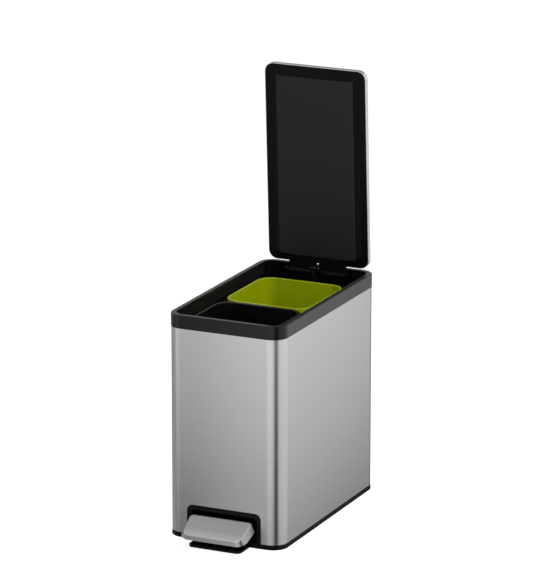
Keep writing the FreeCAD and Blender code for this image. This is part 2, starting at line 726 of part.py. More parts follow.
# Hinge bracket: a folded steel plate inside the rear of the collar, with an
# ear at each end of the lid's hinge block.
bracket = new_body("hinge_bracket")
back = SL / 2 - wall - 0.1
face = sketch(bracket, "XZ_Plane", -back)
rect(face, -62.5, 62.5, 375.0, 408.0)
pad(bracket, face, 2.0)
ears = sketch(bracket, "YZ_Plane", -62.5)
poly(ears, [(back - 1.0, 393.0), (back - 1.0, 408.0), (191.0, 408.0), (188.5, 405.0),
            (188.5, 397.0), (191.0, 393.0)])
pad(bracket, ears, 125.0)
between = sketch(bracket, "YZ_Plane", -(D["hinge_width"] / 2) - 0.8)
rect(between, 180.0, back - 2.0, 390.0, 412.0)
pocket(bracket, between, D["hinge_width"] + 1.6, reverse=True)
eye = sketch(bracket, "YZ_Plane", -65.0)
circle(eye, D["hinge_y"], D["hinge_z"], D["hinge_pin_radius"] + run)
pocket(bracket, eye, 130.0, reverse=True)
holes = sketch(bracket, "XZ_Plane", -back + 4.0)
circle(holes, -42.0, 381.0, 1.8)
circle(holes, 42.0, 381.0, 1.8)
pocket(bracket, holes, 8.0)

# Hinge pin with an upset head, and the push-on clip at its other end.
hy, hz = D["hinge_y"], D["hinge_z"]
pin = cylinder("hinge_pin_shaft", D["hinge_pin_radius"], 129.0, (-65.0, hy, hz), "x", keep=False)
head = cylinder("hinge_pin_head", 4.0, 1.4, (62.7, hy, hz), "x", keep=False)
fuse("hinge_pin", [pin, head])
clip_disc = cylinder("hinge_clip_disc", 4.6, 0.8, (-63.6, hy, hz), "x", keep=False)
clip_hole = cylinder("hinge_clip_hole", 2.53, 3.0, (-64.6, hy, hz), "x", keep=False)
cut("hinge_pin_clip", clip_disc, clip_hole)

seat_y = num(back) - 2.0
group("hinge_bracket_screws",
      [screw("hinge_screw_%d" % (k + 1), 3.6, 2.0, 1.7, 4.0, (x, seat_y, 381.0), "y", 1)
       for k, x in enumerate((-42.0, 42.0))])

# Fulcrum bracket on the tray's floor, with the pedal axle through it.
fulcrum = new_body("fulcrum_bracket")
fy, fz = D["fulcrum_y"], D["fulcrum_z"]
foot = sketch(fulcrum, "XY_Plane", D["tray_floor"])
rrect(foot, -25.0, 25.0, fy - 18.0, fy + 18.0, 4.0)
pad(fulcrum, foot, 2.0)
cheek = sketch(fulcrum, "YZ_Plane", -13.0)
poly(cheek, [(fy - 12.0, D["tray_floor"] + 1.0), (fy + 12.0, D["tray_floor"] + 1.0),
             (fy + 9.0, fz + 5.0), (fy + 5.0, fz + 9.0), (fy - 5.0, fz + 9.0), (fy - 9.0, fz + 5.0)])
pad(fulcrum, cheek, 26.0)
between = sketch(fulcrum, "YZ_Plane", -10.5)
rect(between, fy - 30.0, fy + 30.0, D["tray_floor"] + 2.0, fz + 30.0)
pocket(fulcrum, between, 21.0, reverse=True)
eye = sketch(fulcrum, "YZ_Plane", -15.0)
circle(eye, fy, fz, D["axle_radius"] + run)
pocket(fulcrum, eye, 30.0, reverse=True)
holes = sketch(fulcrum, "XY_Plane", D["tray_floor"] + 2.0)
for x, y in PLATE:
    circle(holes, x, y, 1.8)
pocket(fulcrum, holes, 2.0)

cylinder("pedal_axle", D["axle_radius"], 34.0, (-17.0, fy, fz), "x")
clips = []
for k, x in enumerate((-15.0, 14.2)):
    disc = cylinder("axle_clip_disc_%d" % k, 5.2, 0.8, (x, fy, fz), "x", keep=False)
    hole = cylinder("axle_clip_hole_%d" % k, 3.03, 3.0, (x - 1.0, fy, fz), "x", keep=False)
    clips.append(cut("axle_clip_%d" % (k + 1), disc, hole, keep=False))
group("axle_clips", clips)
group("fulcrum_screws",
      [screw("fulcrum_screw_%d" % (k + 1), 3.2, 1.8, 1.7, 4.2,
             (x, y, num(D["tray_floor"]) + 2.0), "z", -1) for k, (x, y) in enumerate(PLATE)])
group("base_screws",
      [screw("base_screw_%d" % (k + 1), 3.4, 1.5, 1.7, 16.0, (x, y, 2.0), "z", 1)
       for k, (x, y) in enumerate(BOSS)])

# Soft parts: feet let into the underside, the pedal's stop and the lid's bumpers.
group("rubber_feet", [cylinder("foot_%d" % (k + 1), 8.0, 2.0, (x, y, 0.0), "z", keep=False)
                      for k, (x, y) in enumerate([(-88.0, -190.0), (88.0, -190.0),
                                                  (-88.0, 188.0), (88.0, 188.0)])])
cylinder("pedal_buffer", 7.0, 17.0, (0.0, -120.0, num(D["tray_floor"])), "z")
group("lid_bumpers", [cylinder("bumper_%d" % (k + 1), 1.9, 1.2,
                               (x, -num(OL) / 2 + 2.2, 404.0), "z", keep=False)
                      for k, x in enumerate((-59.0, 59.0))])

# =============================================================================
# The lid, drawn shut and then swung open about the hinge pin
# =============================================================================

swing = Placement(Vector(0, 0, 0), Rotation(Vector(1, 0, 0), -num(D["lid_open"])),
                  Vector(0, num(hy), num(hz)))
LW, LF = D["lid_width"], -D["lid_front"]
LR = LF + D["lid_length"]
lid_top = D["lid_base"] + D["lid_skirt"]

lid = new_body("lid_skin")
outline = sketch(lid, "XY_Plane", D["lid_base"])
rrect(outline, -LW / 2, LW / 2, LF, LR, D["lid_corner"])
pad(lid, outline, D["lid_skirt"])
fillet(lid, edges_where(lid.Tip.Shape, flat_at(num(lid_top))), 2.6)
hollow = sketch(lid, "XY_Plane", D["lid_base"])
rrect(hollow, -LW / 2 + skin, LW / 2 - skin, LF + skin, LR - skin, D["lid_corner"] - skin)
pocket(lid, hollow, D["lid_skirt"] - 2.6, reverse=True)
hollow = sketch(lid, "XY_Plane", lid_top - 2.7)
rrect(hollow, -LW / 2 + 2.6, LW / 2 - 2.6, LF + 2.6, LR - 2.6, D["lid_corner"] - 2.6)
pocket(lid, hollow, 2.7 - skin, reverse=True)
lid.Placement = swing

# Liner: the moulded tray that closes the lid from below, with a raised panel
# that runs down to the hinge block.
liner = new_body("lid_liner")
face_z = D["lid_base"] + 1.0
play = skin + 0.1
border = sketch(liner, "XY_Plane", face_z)
rrect(border, -LW / 2 + play, LW / 2 - play, LF + play, LR - play, D["lid_corner"] - play)
pad(liner, border, 8.0)
low = sketch(liner, "XY_Plane", face_z)
high = sketch(liner, "XY_Plane", face_z - D["panel_rise"])
PW = D["panel_width"]
rrect(low, -PW / 2 - 12.0, PW / 2 + 12.0, LF + 11.0, LR - 8.0, 12.0)
rrect(high, -PW / 2, PW / 2, LF + 21.0, LR - 14.0, 8.0)
loft(liner, "AdditiveLoft", low, high)
tray = sketch(liner, "XY_Plane", face_z + 8.0)
rrect(tray, -LW / 2 + play + 2, LW / 2 - play - 2, LF + play + 2, LR - play - 2,
      D["lid_corner"] - play - 2)
pocket(liner, tray, 6.0)
low = sketch(liner, "XY_Plane", face_z + 2.5)
high = sketch(liner, "XY_Plane", face_z - D["panel_rise"] + 2.0)
rrect(low, -PW / 2 - 12.0, PW / 2 + 12.0, LF + 11.0, LR - 16.0, 10.0)
rrect(high, -PW / 2 + 3.0, PW / 2 - 3.0, LF + 23.0, LR - 18.0, 6.0)
loft(liner, "SubtractiveLoft", low, high)
seat = sketch(liner, "XY_Plane", face_z)
rect(seat, -D["hinge_width"] / 2 - 0.1, D["hinge_width"] / 2 + 0.1, LR - 16.0, LR - play + 0.5)
pocket(liner, seat, 12.0)
liner.Placement = swing

# Hinge block: the moulded arm that carries the lid, with the barrel that turns
# on the hinge pin and two crank lugs in the middle.
block = new_body("hinge_block")
HW = D["hinge_width"]
plan = sketch(block, "YZ_Plane", -HW / 2)
panel_z = face_z - D["panel_rise"]
poly(plan, [(LR - 15.9, panel_z), (hy, panel_z), (hy, hz + 2.9), (LR + 1.0, hz + 2.9),
            (LR - play - 0.1, D["lid_base"] - 0.2), (LR - play - 0.1, face_z - 0.05),
            (LR - 15.9, face_z - 0.05)])
pad(block, plan, HW)
barrel = sketch(block, "YZ_Plane", -HW / 2)
circle(barrel, hy, hz, D["barrel_radius"])
pad(block, barrel, HW)
# Crank lugs, in the shut position of the pin.
phi = math.radians(num(D["lid_open"]))
oy, oz = -num(D["crank_reach_y"]), num(D["crank_reach_z"])
cy = oy * math.cos(phi) - oz * math.sin(phi)
cz = oy * math.sin(phi) + oz * math.cos(phi)
crank_y, crank_z = num(hy) + cy, num(hz) + cz
reach = math.hypot(cy, cz)
uy, uz = cy / reach, cz / reach
lug = sketch(block, "YZ_Plane", -7.4)
poly(lug, [(num(hy) - uz * 5.9, num(hz) + uy * 5.9), (crank_y - uz * 4.2, crank_z + uy * 4.2),
           (crank_y + uy * 3.2 - uz * 2.2, crank_z + uz * 3.2 + uy * 2.2),
           (crank_y + uy * 3.2 + uz * 2.2, crank_z + uz * 3.2 - uy * 2.2),
           (crank_y + uz * 4.2, crank_z - uy * 4.2), (num(hy) + uz * 5.9, num(hz) - uy * 5.9)])
pad(block, lug, 14.8)
# Slot between the lugs for the rod's head, and the bores.
slot = sketch(block, "YZ_Plane", -2.4)
circle(slot, hy, hz, 25.0)
circle(slot, hy, hz, D["barrel_radius"] + 0.3)
pocket(block, slot, 4.8, reverse=True)
bore = sketch(block, "YZ_Plane", -HW / 2 - 1.0)
circle(bore, hy, hz, D["hinge_pin_radius"] + run)
pocket(block, bore, HW + 2.0, reverse=True)
bore = sketch(block, "YZ_Plane", -9.0)
circle(bore, crank_y, crank_z, D["crank_pin_radius"] + run)
pocket(block, bore, 18.0, reverse=True)
block.Placement = swing

crank = cylinder("crank_pin", D["crank_pin_radius"], 16.4,
                 (-8.2, num(hy) + oy, num(hz) + oz), "x")

# =============================================================================
# The pedal, pressed
# =============================================================================

ry, rz, slope = D["pedal_ridge_y"], D["pedal_ridge_z"], D["pedal_slope"]
PLN, HLN = D["pedal_length"], D["pedal_hem_length"]
t = math.radians(num(slope))
along = Vector(0, math.cos(t), math.sin(t))
normal = Vector(0, -math.sin(t), math.cos(t))
anchor = Vector(0, num(ry), num(rz))


def pressing(label, inset, sink, round_off):
    """The pedal's steel as a solid block, or with an inset the space in it:
    a plate that widens backwards, flared sides, and a front that rolls down."""
    block = doc.addObject("PartDesign::Body", label)
    crown = slope_sketch(block, ry, rz, slope, inset)
    rtaper(crown, D["pedal_front_width"] - 2.6 * inset, D["pedal_back_width"] - 2.6 * inset,
           0.8 + 1.6 * inset, PLN - 2.4 * inset, 11.0 - inset)
    hem = slope_sketch(block, D["pedal_hem_y"], D["pedal_hem_z"], D["pedal_hem_slope"], sink)
    rtaper(hem, D["pedal_hem_width"] - 2.2 * inset, D["pedal_width"] - 2.2 * inset,
           -0.4 + 1.1 * inset, HLN - 1.1 * inset, 18.0 - inset, 7.0 - inset)
    loft(block, "AdditiveLoft", crown, hem)
    # The roll: everything above an arc that leaves the plate at its tangent.
    reach, r = num(D["pedal_roll_length"]), num(D["pedal_roll"]) - inset
    start = anchor + along * reach - normal * inset
    centre = start - normal * r
    a0 = math.pi / 2 + t
    turn = 2.0 * reach / r
    end = (centre.y + r * math.cos(a0 + turn), centre.z + r * math.sin(a0 + turn))
    top = (end[0], start.z + 25.0)
    roll = sketch(block, "YZ_Plane", -90.0)
    roll.addGeometry(Part.ArcOfCircle(Part.Circle(Vector(centre.y, centre.z, 0), Vector(0, 0, 1), r),
                                      a0, a0 + turn), False)
    roll.addGeometry(Part.LineSegment(Vector(end[0], end[1], 0), Vector(top[0], top[1], 0)), False)
    roll.addGeometry(Part.LineSegment(Vector(top[0], top[1], 0), Vector(start.y, start.z, 0)), False)
    roll.addConstraint(Sketcher.Constraint("Coincident", 0, 2, 1, 1))
    roll.addConstraint(Sketcher.Constraint("Coincident", 1, 2, 2, 1))
    roll.addConstraint(Sketcher.Constraint("Coincident", 2, 2, 0, 1))
    constrain(roll, "Radius", 0, r)
    fix_x(roll, 0, 1, start.y)
    fix_y(roll, 0, 1, start.z)
    fix_x(roll, 0, 3, centre.y)
    fix_x(roll, 1, 1, end[0])
    fix_x(roll, 1, 2, top[0])
    fix_y(roll, 1, 2, top[1])
    pocket(block, roll, 180.0, reverse=True)

    def upper(e):
        for u in (0.02, 0.5, 0.98):
            p = e.valueAt(e.FirstParameter + u * (e.LastParameter - e.FirstParameter))
            away = (p - anchor).dot(normal) + inset
            if (p - anchor).dot(along) > reach - 1e-3:
                if abs(away) > 2e-3:
                    return False
            elif abs(math.hypot(p.y - centre.y, p.z - centre.z) - r) > 2e-3:
                return False
        b = e.BoundBox
        return not (b.XMax - b.XMin > 60.0 and b.YMax - b.YMin < 0.5
                    and abs((b.YMax - start.y)) < 0.5)

    fillet(block, edges_where(block.Tip.Shape, upper), round_off - inset)
    return block


# Steel cap: the pressing with its inside taken out, and open at the back below
# the plate, where the carrier's neck comes out.
outside = pressing("cap_outside", 0.0, 0.0, 4.5)
backcut = slope_sketch(outside, ry, rz, slope, 3.2)
rect(backcut, -80.0, 80.0, PLN - 3.4, PLN + 5.0)
pocket(outside, backcut, 18.0)
cut("pedal_plate", outside, pressing("cap_inside", 1.2, 0.6, 4.5))

# Carrier: the moulded arm under the cap, with the neck that passes the arch.
arm = new_body("pedal_arm")
top_face = slope_sketch(arm, ry, rz, slope, 1.4)
rtaper(top_face, 96.0, 104.0, 21.0, PLN - 10.6, 8.0)
pad(arm, top_face, 5.6, reverse=True)


def under(y, d):
    """Height of a line d below the cap's top face, at y."""
    return num(rz) + (y - num(ry)) * math.tan(t) - d / math.cos(t)


neck = sketch(arm, "YZ_Plane", -21.0)
poly(neck, [(-160.0, 22.5), (-160.0, 32.8), (-213.4, 32.8), (-222.0, under(-222.0, 1.6)),
            (-241.0, under(-241.0, 1.6)), (-241.0, under(-241.0, 9.0)), (-236.0, 22.5)])
pad(arm, neck, 42.0)
keyway = sketch(arm, "XY_Plane", 40.0)
rect(keyway, -D["lever_gauge"] / 2 - 0.05, D["lever_gauge"] / 2 + 0.05, -212.0, -150.0)
pocket(arm, keyway, 30.0)
bolts = sketch(arm, "YZ_Plane", -30.0)
circle(bolts, -176.0, 27.7, 2.05)
circle(bolts, -198.0, 27.7, 2.05)
pocket(arm, bolts, 60.0, reverse=True)

# Lever: the long steel bar from the pedal to the push rod, on its own hub.
lever = new_body("pedal_lever")
ty, tz = D["lever_tip_y"], D["lever_tip_z"]
half = D["lever_height"] / 2
bar = sketch(lever, "YZ_Plane", -(D["lever_gauge"] / 2))
poly(bar, [(-211.5, 23.5), (-165.0, 23.5), (-150.0, fz - half - 1.0), (fy, fz - half),
           (ty, tz - half), (ty + 5.0, tz - 5.0), (ty + 7.0, tz), (ty + 5.0, tz + 5.0),
           (ty, tz + half), (fy, fz + half), (-150.0, fz + half - 2.0), (-165.0, 32.0),
           (-211.5, 32.0)])
pad(lever, bar, D["lever_gauge"])
hub = sketch(lever, "YZ_Plane", -10.0)
circle(hub, fy, fz, 8.0)
pad(lever, hub, 20.0)
eye = sketch(lever, "YZ_Plane", -12.0)
circle(eye, fy, fz, D["axle_radius"] + run)
pocket(lever, eye, 24.0, reverse=True)
eye = sketch(lever, "YZ_Plane", -12.0)
circle(eye, ty, tz, 2.55)
circle(eye, -176.0, 27.7, 2.05)
circle(eye, -198.0, 27.7, 2.05)
pocket(lever, eye, 24.0, reverse=True)

cylinder("lever_pin", 2.5, 19.0, (-9.5, ty, tz), "x")
rivets = []
for k, y in enumerate((-176.0, -198.0)):
    shaft = cylinder("rivet_shaft_%d" % k, 2.0, 46.0, (-23.0, y, 27.7), "x", keep=False)
    h1 = cylinder("rivet_head_a%d" % k, 3.6, 1.6, (-22.7, y, 27.7), "x", keep=False)
    h2 = cylinder("rivet_head_b%d" % k, 3.6, 1.6, (21.1, y, 27.7), "x", keep=False)
    rivets.append(fuse("rivet_%d" % (k + 1), [shaft, h1, h2], keep=False))
group("arm_rivets", rivets)

# =============================================================================
# The push rod
# =============================================================================

cylinder("push_rod", D["rod_radius"], 349.0, (0.0, D["rod_y"], 53.0), "z")

# Head: a flat eye with a level slot for the crank pin, on a short socket.
eye_y, eye_z = num(hy) + oy, num(hz) + oz
rod_head = new_body("rod_head")
flat = sketch(rod_head, "YZ_Plane", -1.7)
rrect(flat, 173.4, 187.6, 394.0, eye_z + 5.2, 3.0)
pad(rod_head, flat, 3.4)
socket = sketch(rod_head, "XY_Plane", 386.0)
circle(socket, 0.0, D["rod_y"], 4.2)
pad(rod_head, socket, 12.0)
slot = sketch(rod_head, "YZ_Plane", -3.0)
rrect(slot, 175.6, 185.4, eye_z - 2.75, eye_z + 2.75, 2.7)
pocket(rod_head, slot, 6.0, reverse=True)
well = sketch(rod_head, "XY_Plane", 402.05)
circle(well, 0.0, D["rod_y"], D["rod_radius"] + run)
pocket(rod_head, well, 16.1)

# Foot: a forked block over the lever's tip, slotted for the lever pin.
rod_foot = new_body("rod_foot")
blockf = sketch(rod_foot, "XY_Plane", 34.0)
rrect(blockf, -8.6, 8.6, 173.6, 190.4, 2.0)
pad(rod_foot, blockf, 26.0)
fork = sketch(rod_foot, "YZ_Plane", -3.2)
rect(fork, 160.0, 200.0, 30.0, 51.0)
pocket(rod_foot, fork, 6.4, reverse=True)
slot = sketch(rod_foot, "YZ_Plane", -12.0)
rrect(slot, 178.6, 185.4, num(tz) - 2.6, num(tz) + 2.6, 2.55)
pocket(rod_foot, slot, 24.0, reverse=True)
well = sketch(rod_foot, "XY_Plane", 60.0)
circle(well, 0.0, D["rod_y"], D["rod_radius"] + run)
pocket(rod_foot, well, 7.1)

# Clamp that carries the damper's rod beside the push rod.
clamp = new_body("rod_clamp")
face = sketch(clamp, "XY_Plane", 214.0)
rrect(face, -8.0, 24.0, 177.0, 193.0, 4.0)
pad(clamp, face, 8.0)
holes = sketch(clamp, "XY_Plane", 222.0)
circle(holes, 0.0, D["rod_y"], D["rod_radius"] + run)
circle(holes, D["damper_x"], D["damper_y"], 1.55)
pocket(clamp, holes, 8.0)

stem = cylinder("damper_stem", 1.5, 46.0, (D["damper_x"], D["damper_y"], 177.0), "z", keep=False)
disc = cylinder("damper_disc", 5.0, 6.0, (D["damper_x"], D["damper_y"], 174.0), "z", keep=False)
fuse("damper_rod", [stem, disc])

# =============================================================================
# The two buckets, alike but for their colour and their length
# =============================================================================

for label, yc, bl in (
        ("front_bucket", D["front_bucket_y"], D["front_bucket_length"]),
        ("rear_bucket", D["rear_bucket_y"], D["rear_bucket_length"])):
    b = new_body(label)
    bw, br = D["bucket_width"], D["bucket_corner"]
    wall_b = D["bucket_wall"]
    foot_z, top_z = D["bucket_foot"], D["bucket_top"]
    draft = math.degrees(math.atan(6.0 / num(top_z - foot_z)))
    low = centred(sketch(b, "XY_Plane", foot_z), bw - 18.0, bl - 18.0, br - 9.0, yc)
    tapered(b, "Pad", low, top_z - foot_z - 1.0, draft, False)
    flange = sketch(b, "XY_Plane", top_z - 8.0)
    centred(flange, bw, bl, br, yc)
    pad(b, flange, 8.0)
    relief = sketch(b, "XY_Plane", top_z - 8.0)
    centred(relief, bw - 3.0, bl - 3.0, br - 1.5, yc)
    centred(relief, bw - 5.6, bl - 5.6, br - 2.8, yc)
    pocket(b, relief, 5.5, reverse=True)
    low = centred(sketch(b, "XY_Plane", foot_z + wall_b), bw - 18.0 - 2 * wall_b,
                  bl - 18.0 - 2 * wall_b, br - 9.0 - wall_b, yc)
    tapered(b, "Pocket", low, top_z - foot_z, draft, True)
    fillet(b, edges_where(b.Tip.Shape, flat_at(num(top_z))), 0.8)

# =============================================================================
# Checks and files
# =============================================================================

doc.recompute()
for obj in doc.Objects:
    if "Invalid" in obj.State or "Error" in obj.State:
        raise RuntimeError("%s (%s) is in state %s" % (obj.Name, obj.Label, obj.State))

os.makedirs("parts", exist_ok=True)
shapes = {}
for label in LABELS:
    found = doc.getObjectsByLabel(label)
    if len(found) != 1:
        raise RuntimeError("label %s is not one object" % label)
    shape = found[0].Shape
    if shape.isNull() or not shape.isValid() or not shape.Solids:
        raise RuntimeError("%s has no valid solid" % label)
    shapes[label] = shape
for label, shape in shapes.items():
    shape.exportStep(os.path.join("parts", label + ".step"))
    b = shape.BoundBox
    print("%-22s solids %d  volume %9.1f  x %7.1f %7.1f  y %7.1f %7.1f  z %7.1f %7.1f" % (
        label, len(shape.Solids), shape.Volume, b.XMin, b.XMax, b.YMin, b.YMax, b.ZMin, b.ZMax))
print("nodes", len(shapes))
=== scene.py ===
import math

import bmesh
import bpy
from mathutils import Matrix, Vector

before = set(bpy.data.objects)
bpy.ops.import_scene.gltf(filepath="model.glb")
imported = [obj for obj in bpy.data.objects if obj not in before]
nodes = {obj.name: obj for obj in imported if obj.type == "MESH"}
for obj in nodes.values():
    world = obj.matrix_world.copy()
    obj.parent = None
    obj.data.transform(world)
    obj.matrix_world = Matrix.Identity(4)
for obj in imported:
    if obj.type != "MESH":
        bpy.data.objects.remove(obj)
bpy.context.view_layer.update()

scene = bpy.context.scene

# ---------------------------------------------------------------------------
# Camera: the photograph's viewing angle, an image of 543 x 580
# ---------------------------------------------------------------------------

IMG_W, IMG_H = 543, 580
F_PX = 4329.5
AZ, EL = math.radians(24.992), math.radians(15.677)
DIST, TX, TY = 7.9119, -0.002677, 0.401549

forward = Vector((-math.sin(AZ) * math.cos(EL), math.cos(AZ) * math.cos(EL), -math.sin(EL)))
right = Vector((math.cos(AZ), math.sin(AZ), 0.0))
up = right.cross(forward)
cam_data = bpy.data.cameras.new("camera")
cam = bpy.data.objects.new("camera", cam_data)
scene.collection.objects.link(cam)
cam.location = right * TX + up * TY - forward * DIST
cam.matrix_world = Matrix.Translation(right * TX + up * TY - forward * DIST) @ Matrix((
    (right.x, up.x, -forward.x, 0), (right.y, up.y, -forward.y, 0),
    (right.z, up.z, -forward.z, 0), (0, 0, 0, 1)))
cam_data.sensor_fit = "AUTO"
cam_data.sensor_width = 36.0
cam_data.lens = F_PX * 36.0 / IMG_H
cam_data.clip_start = 0.1
cam_data.clip_end = 100.0
scene.camera = cam

scene.view_settings.view_transform = "Standard"
scene.view_settings.look = "None"

# ---------------------------------------------------------------------------
# Materials
# ---------------------------------------------------------------------------


def new_material(name):
    m = bpy.data.materials.new(name)
    m.use_nodes = True
    nt = m.node_tree
    for n in list(nt.nodes):
        nt.nodes.remove(n)
    out = nt.nodes.new("ShaderNodeOutputMaterial")
    bsdf = nt.nodes.new("ShaderNodeBsdfPrincipled")
    nt.links.new(bsdf.outputs["BSDF"], out.inputs["Surface"])
    return m, nt, bsdf


def node(nt, kind, **values):
    n = nt.nodes.new(kind)
    for k, v in values.items():
        setattr(n, k, v)
    return n


def object_coords(nt, scale, rotation=(0, 0, 0)):
    tc = node(nt, "ShaderNodeTexCoord")
    mp = node(nt, "ShaderNodeMapping")
    mp.inputs["Scale"].default_value = scale
    mp.inputs["Rotation"].default_value = rotation
    nt.links.new(tc.outputs["Object"], mp.inputs["Vector"])
    return mp.outputs["Vector"]


def noise(nt, vector, scale, detail=2.0, rough=0.5):
    n = node(nt, "ShaderNodeTexNoise")
    n.inputs["Scale"].default_value = scale
    n.inputs["Detail"].default_value = detail
    n.inputs["Roughness"].default_value = rough
    nt.links.new(vector, n.inputs["Vector"])
    return n.outputs["Fac"]


def spread(nt, value, lo, hi, from_lo=0.3, from_hi=0.7):
    r = node(nt, "ShaderNodeMapRange")
    r.inputs["From Min"].default_value = from_lo
    r.inputs["From Max"].default_value = from_hi
    r.inputs["To Min"].default_value = lo
    r.inputs["To Max"].default_value = hi
    nt.links.new(value, r.inputs["Value"])
    return r.outputs["Result"]


def ramp(nt, value, stops):
    r = node(nt, "ShaderNodeValToRGB")
    cr = r.color_ramp
    while len(cr.elements) < len(stops):
        cr.elements.new(0.5)
    for e, (p, c) in zip(cr.elements, stops):
        e.position = p
        e.color = (c[0], c[1], c[2], 1.0)
    nt.links.new(value, r.inputs["Fac"])
    return r.outputs["Color"]


def math_node(nt, op, a, b):
    n = node(nt, "ShaderNodeMath", operation=op)
    for k, v in enumerate((a, b)):
        if isinstance(v, (int, float)):
            n.inputs[k].default_value = v
        else:
            nt.links.new(v, n.inputs[k])
    return n.outputs["Value"]


def bump(nt, bsdf, height, strength, distance):
    b = node(nt, "ShaderNodeBump")
    b.inputs["Strength"].default_value = strength
    b.inputs["Distance"].default_value = distance
    nt.links.new(height, b.inputs["Height"])
    nt.links.new(b.outputs["Normal"], bsdf.inputs["Normal"])
    return b


def brushed(name, across, tangent, turn, base=(0.60, 0.60, 0.60), rough=(0.28, 0.36),
            aniso=0.8, contrast=0.03):
    """Brushed stainless sheet. across is the axis that the brush lines are
    stacked along: lines run along the other two. tangent is an axis letter for
    a radial tangent, or a direction."""
    m, nt, bsdf = new_material(name)
    fine, coarse, long_ = 5.0, 2200.0, 1.2
    scale = {"z": (fine, fine, coarse), "x": (coarse, fine, fine), "y": (fine, coarse, fine)}[across]
    lines = noise(nt, object_coords(nt, scale), 1.0, 3.0, 0.62)
    scale2 = {"z": (9, 9, 420), "x": (420, 9, 9), "y": (9, 420, 9)}[across]
    bands = noise(nt, object_coords(nt, scale2), 1.0, 2.0, 0.5)
    cloud = noise(nt, object_coords(nt, (3.2, 3.2, 3.2)), 1.0, 2.0, 0.5)
    mixed = math_node(nt, "ADD", math_node(nt, "MULTIPLY", lines, 0.55),
                      math_node(nt, "ADD", math_node(nt, "MULTIPLY", bands, 0.30),
                                math_node(nt, "MULTIPLY", cloud, 0.15)))
    lo = tuple(c * (1 - contrast) for c in base)
    hi = tuple(min(1.0, c * (1 + contrast)) for c in base)
    nt.links.new(ramp(nt, mixed, [(0.35, lo), (0.65, hi)]), bsdf.inputs["Base Color"])
    nt.links.new(spread(nt, mixed, rough[0], rough[1]), bsdf.inputs["Roughness"])
    bsdf.inputs["Metallic"].default_value = 1.0
    bsdf.inputs["Anisotropic"].default_value = aniso
    bsdf.inputs["Anisotropic Rotation"].default_value = turn
    if isinstance(tangent, str):
        tan = node(nt, "ShaderNodeTangent", direction_type="RADIAL", axis=tangent).outputs["Tangent"]
    else:
        xyz = node(nt, "ShaderNodeCombineXYZ")
        for k in range(3):
            xyz.inputs[k].default_value = tangent[k]
        tan = xyz.outputs["Vector"]
    nt.links.new(tan, bsdf.inputs["Tangent"])
    bump(nt, bsdf, lines, 0.04, 0.0002)
    return m


def moulded(name, colour, rough, grain=1400.0, strength=0.10, coat=0.0, spec=0.5, vary=0.12,
            depth=0.0002, sheen=0.0, painted_light_panel=None):
    """Moulded plastic: fine eroded grain, slight unevenness of gloss. The last
    argument paints light: a lighter base colour, then the half width and the
    low and high ends of the raised panel that is given it to look brighter."""
    m, nt, bsdf = new_material(name)
    g = noise(nt, object_coords(nt, (1, 1, 1)), grain, 2.0, 0.55)
    c = noise(nt, object_coords(nt, (1, 1, 1)), 22.0, 3.0, 0.55)
    lo = tuple(v * (1 - vary) for v in colour)
    hi = tuple(min(1.0, v * (1 + vary)) for v in colour)
    tint = ramp(nt, c, [(0.35, lo), (0.65, hi)])
    # Painted light: inside the raised panel the base colour is the lighter tone.
    if painted_light_panel:
        shade, half, low, high = painted_light_panel
        tc = node(nt, "ShaderNodeTexCoord")
        sep = node(nt, "ShaderNodeSeparateXYZ")
        nt.links.new(tc.outputs["Object"], sep.inputs["Vector"])
        inside = math_node(nt, "MULTIPLY",
                           math_node(nt, "LESS_THAN", math_node(nt, "ABSOLUTE", sep.outputs["X"], 0.0), half),
                           math_node(nt, "MULTIPLY",
                                     math_node(nt, "GREATER_THAN", sep.outputs["Z"], low),
                                     math_node(nt, "LESS_THAN", sep.outputs["Z"], high)))
        mix = node(nt, "ShaderNodeMix", data_type="RGBA")
        nt.links.new(inside, mix.inputs[0])
        nt.links.new(tint, mix.inputs[6])
        mix.inputs[7].default_value = (shade, shade, shade, 1.0)
        tint = mix.outputs[2]
    nt.links.new(tint, bsdf.inputs["Base Color"])
    if sheen:
        bsdf.inputs["Sheen Weight"].default_value = sheen
        bsdf.inputs["Sheen Roughness"].default_value = 0.3
    nt.links.new(spread(nt, math_node(nt, "ADD", math_node(nt, "MULTIPLY", g, 0.5),
                                      math_node(nt, "MULTIPLY", c, 0.5)),
                        rough - 0.05, rough + 0.05), bsdf.inputs["Roughness"])
    bsdf.inputs["Specular IOR Level"].default_value = spec
    if coat:
        bsdf.inputs["Coat Weight"].default_value = coat
        bsdf.inputs["Coat Roughness"].default_value = 0.15
    bump(nt, bsdf, g, strength, depth)
    return m


def plated(name, colour=(0.60, 0.60, 0.585), rough=0.30):
    m, nt, bsdf = new_material(name)
    c = noise(nt, object_coords(nt, (1, 1, 1)), 90.0, 4.0, 0.6)
    f = noise(nt, object_coords(nt, (1, 1, 1)), 900.0, 2.0, 0.5)
    lo = tuple(v * 0.88 for v in colour)
    nt.links.new(ramp(nt, c, [(0.35, lo), (0.65, colour)]), bsdf.inputs["Base Color"])
    nt.links.new(spread(nt, c, rough - 0.06, rough + 0.08), bsdf.inputs["Roughness"])
    bsdf.inputs["Metallic"].default_value = 1.0
    bump(nt, bsdf, f, 0.05, 0.0002)
    return m


